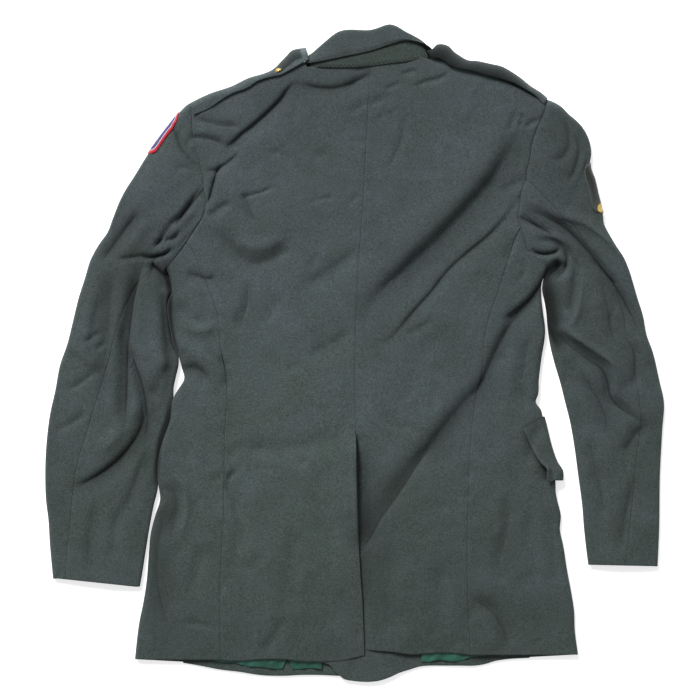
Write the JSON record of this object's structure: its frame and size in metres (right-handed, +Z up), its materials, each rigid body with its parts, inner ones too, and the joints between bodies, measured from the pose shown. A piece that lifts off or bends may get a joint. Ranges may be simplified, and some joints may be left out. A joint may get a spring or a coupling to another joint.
{
  "type": "military dress tunic",
  "caption": "Army service coat in dark green wool, lying face down with its back up and its sleeves beside it.",
  "frame": {"origin": "on the resting surface, under the middle of the laid-out coat's bounding box", "axes": "+Z up out of the coat's back, the thin way; +Y from the hem to the collar; +X to the wearer's right"},
  "size_m": [0.793, 0.8327, 0.0287],
  "materials": {
    "wool": "matt wool cloth, faintly flecked",
    "felt": "matt olive felt",
    "lining": "green satin",
    "gilt": "polished gilt",
    "red_border": "embroidered",
    "badge": "embroidered"
  },
  "bodies": {
    "root": {"back_left": "wool", "back_right": "wool", "collar": "wool", "front_button_1": "gilt", "front_button_2": "gilt", "front_button_3": "gilt", "front_button_4": "gilt", "front_left": "wool", "front_right": "wool", "lapel_left": "wool", "lapel_right": "wool", "lining_left": "lining", "lining_right": "lining", "loop_button_left": "gilt", "loop_button_right": "gilt", "pocket_flap_left": "wool", "pocket_flap_right": "wool", "shoulder_loop_left": "wool", "shoulder_loop_right": "wool", "side_panel_left": "wool", "side_panel_right": "wool", "sleeve_badge_right": "badge", "sleeve_patch_left": "red_border", "top_sleeve_left": "wool", "top_sleeve_right": "wool", "under_collar": "felt", "under_sleeve_left": "wool", "under_sleeve_right": "wool", "vent_underlap": "wool"}
  },
  "joints": []
}
